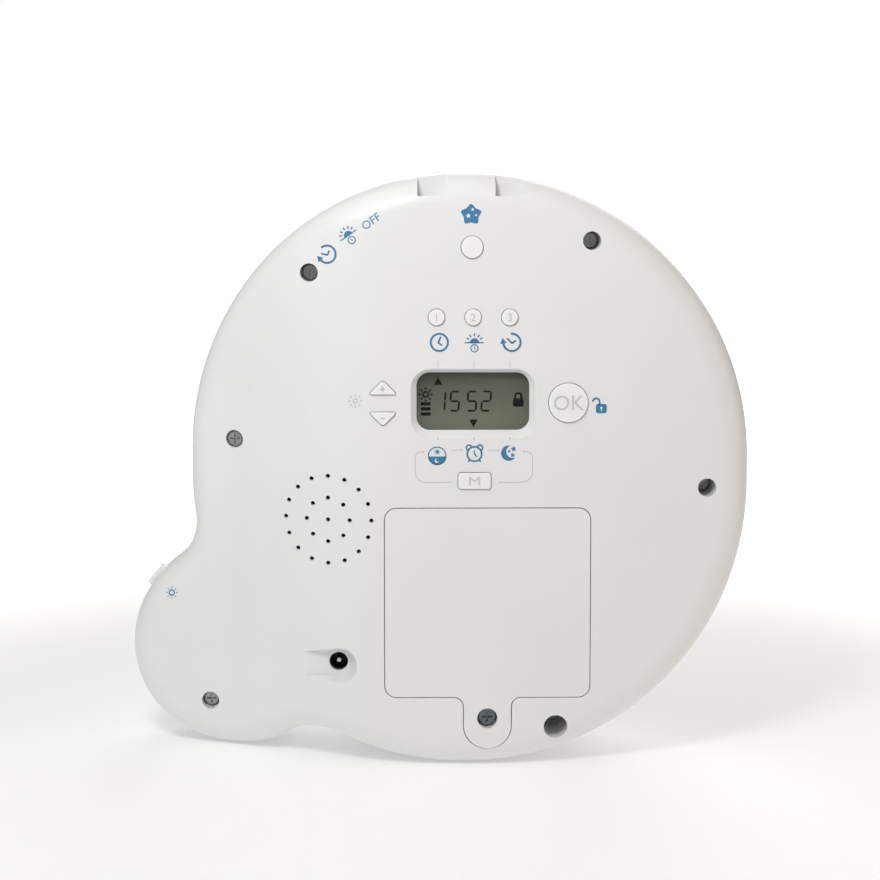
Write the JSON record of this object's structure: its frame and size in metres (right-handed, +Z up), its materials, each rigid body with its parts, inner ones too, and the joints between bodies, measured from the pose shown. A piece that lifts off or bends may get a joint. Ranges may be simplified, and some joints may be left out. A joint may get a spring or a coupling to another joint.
{
  "type": "children's alarm clock with night light",
  "caption": "Round white clock casing with a side lobe, settings keys and display on the back, lit windows in front, standing on its rim.",
  "frame": {"origin": "on the table at the middle of the disc's flat foot, under the disc's axis and midway through the casing's foot", "axes": "+Z up, -Y out of the child's side with the windows, +Y out of the settings side, +X towards the lobe"},
  "size_m": [0.2177, 0.0646, 0.2043],
  "materials": {
    "case_white": "satin moulded ABS, fine spark texture",
    "key_white": "smooth moulded ABS",
    "screw_steel": "zinc-plated, cross recess",
    "plate_blue": "satin",
    "sun_lens_amber": "translucent, diffusing",
    "moon_lens_blue": "translucent, diffusing",
    "star_lens_cream": "translucent, diffusing",
    "dome_frosted": "frosted, translucent",
    "reflector_white": "white reflector",
    "board_green": "solder-resist on glass-epoxy board",
    "switch_black": "moulded",
    "led_cream": "encapsulated lamp",
    "lcd_window_clear": "clear polycarbonate window",
    "lcd_grey": "reflective liquid-crystal display",
    "lcd_frame_black": "moulded",
    "zebra_rubber": "layered conductive rubber",
    "jack_nickel": "nickel-plated",
    "speaker_steel": "pressed steel",
    "speaker_paper": "paper cone",
    "clamp_black": "moulded",
    "contact_nickel": "nickel-plated spring steel",
    "cell_jacket": null
  },
  "bodies": {
    "casing": {"back_shell": "case_white", "battery_cell_1": "cell_jacket", "battery_cell_2": "cell_jacket", "battery_cell_3": "cell_jacket", "battery_cell_4": "cell_jacket", "board_screws": "screw_steel", "casing_screws": "screw_steel", "controller_chip": "switch_black", "dc_jack": "switch_black", "dc_jack_pin": "jack_nickel", "dome_leds": "led_cream", "dome_light_board": "board_green", "dome_reflector": "reflector_white", "front_plate": "plate_blue", "front_shell": "case_white", "lcd_frame": "lcd_frame_black", "lcd_glass": "lcd_grey", "lcd_window": "lcd_window_clear", "light_switch": "switch_black", "light_switch_board": "board_green", "main_board": "board_green", "minus_contacts": "contact_nickel", "moon_leds": "led_cream", "moon_lens": "moon_lens_blue", "moon_light_board": "board_green", "moon_reflector": "reflector_white", "night_light_dome": "dome_frosted", "plus_contacts": "contact_nickel", "selector_board": "board_green", "selector_switch": "switch_black", "speaker_clamp": "clamp_black", "speaker_cone": "speaker_paper", "speaker_frame": "speaker_steel", "speaker_magnet": "speaker_steel", "star_lenses": "star_lens_cream", "sun_leds": "led_cream", "sun_lens": "sun_lens_amber", "sun_light_board": "board_green", "sun_reflector": "reflector_white", "tact_switches": "switch_black", "zebra_strips": "zebra_rubber"},
    "set_key_1": {"set_key_1": "key_white"},
    "set_key_2": {"set_key_2": "key_white"},
    "set_key_3": {"set_key_3": "key_white"},
    "star_key": {"star_key": "key_white"},
    "ok_key": {"ok_key": "key_white"},
    "mode_key": {"mode_key": "key_white"},
    "up_key": {"up_key": "key_white"},
    "down_key": {"down_key": "key_white"},
    "light_key": {"light_key": "key_white"},
    "selector": {"selector_knob": "key_white", "selector_lever": "switch_black"},
    "battery_door": {"battery_door": "case_white", "door_screw": "screw_steel"}
  },
  "joints": [
    {"name": "set_key_1_press", "type": "slide", "parent": "casing", "child": "set_key_1", "axis": [0, -0.9986, -0.0523], "range_m": [0, 0.0006], "stiffness_N_per_m": 1000, "springref_m": -0.0005},
    {"name": "set_key_2_press", "type": "slide", "parent": "casing", "child": "set_key_2", "axis": [0, -0.9986, -0.0523], "range_m": [0, 0.0006], "stiffness_N_per_m": 1000, "springref_m": -0.0005},
    {"name": "set_key_3_press", "type": "slide", "parent": "casing", "child": "set_key_3", "axis": [0, -0.9986, -0.0523], "range_m": [0, 0.0006], "stiffness_N_per_m": 1000, "springref_m": -0.0005},
    {"name": "star_key_press", "type": "slide", "parent": "casing", "child": "star_key", "axis": [0, -0.9986, -0.0523], "range_m": [0, 0.0006], "stiffness_N_per_m": 1000, "springref_m": -0.0005},
    {"name": "ok_key_press", "type": "slide", "parent": "casing", "child": "ok_key", "axis": [0, -0.9986, -0.0523], "range_m": [0, 0.0006], "stiffness_N_per_m": 1000, "springref_m": -0.0005},
    {"name": "mode_key_press", "type": "slide", "parent": "casing", "child": "mode_key", "axis": [0, -0.9986, -0.0523], "range_m": [0, 0.0006], "stiffness_N_per_m": 1000, "springref_m": -0.0005},
    {"name": "up_key_press", "type": "slide", "parent": "casing", "child": "up_key", "axis": [0, -0.9986, -0.0523], "range_m": [0, 0.0006], "stiffness_N_per_m": 1000, "springref_m": -0.0005},
    {"name": "down_key_press", "type": "slide", "parent": "casing", "child": "down_key", "axis": [0, -0.9986, -0.0523], "range_m": [0, 0.0006], "stiffness_N_per_m": 1000, "springref_m": -0.0005},
    {"name": "light_key_press", "type": "slide", "parent": "casing", "child": "light_key", "axis": [-0.7604, 0, -0.6494], "range_m": [0, 0.0006], "stiffness_N_per_m": 1000, "springref_m": -0.0005},
    {"name": "selector_slide", "type": "slide", "parent": "casing", "child": "selector", "axis": [0.8829, 0, -0.4695], "range_m": [-0.004, 0.004]},
    {"name": "battery_door_lift", "type": "slide", "parent": "casing", "child": "battery_door", "axis": [0, 0.9986, 0.0523], "range_m": [0, 0.03]}
  ]
}
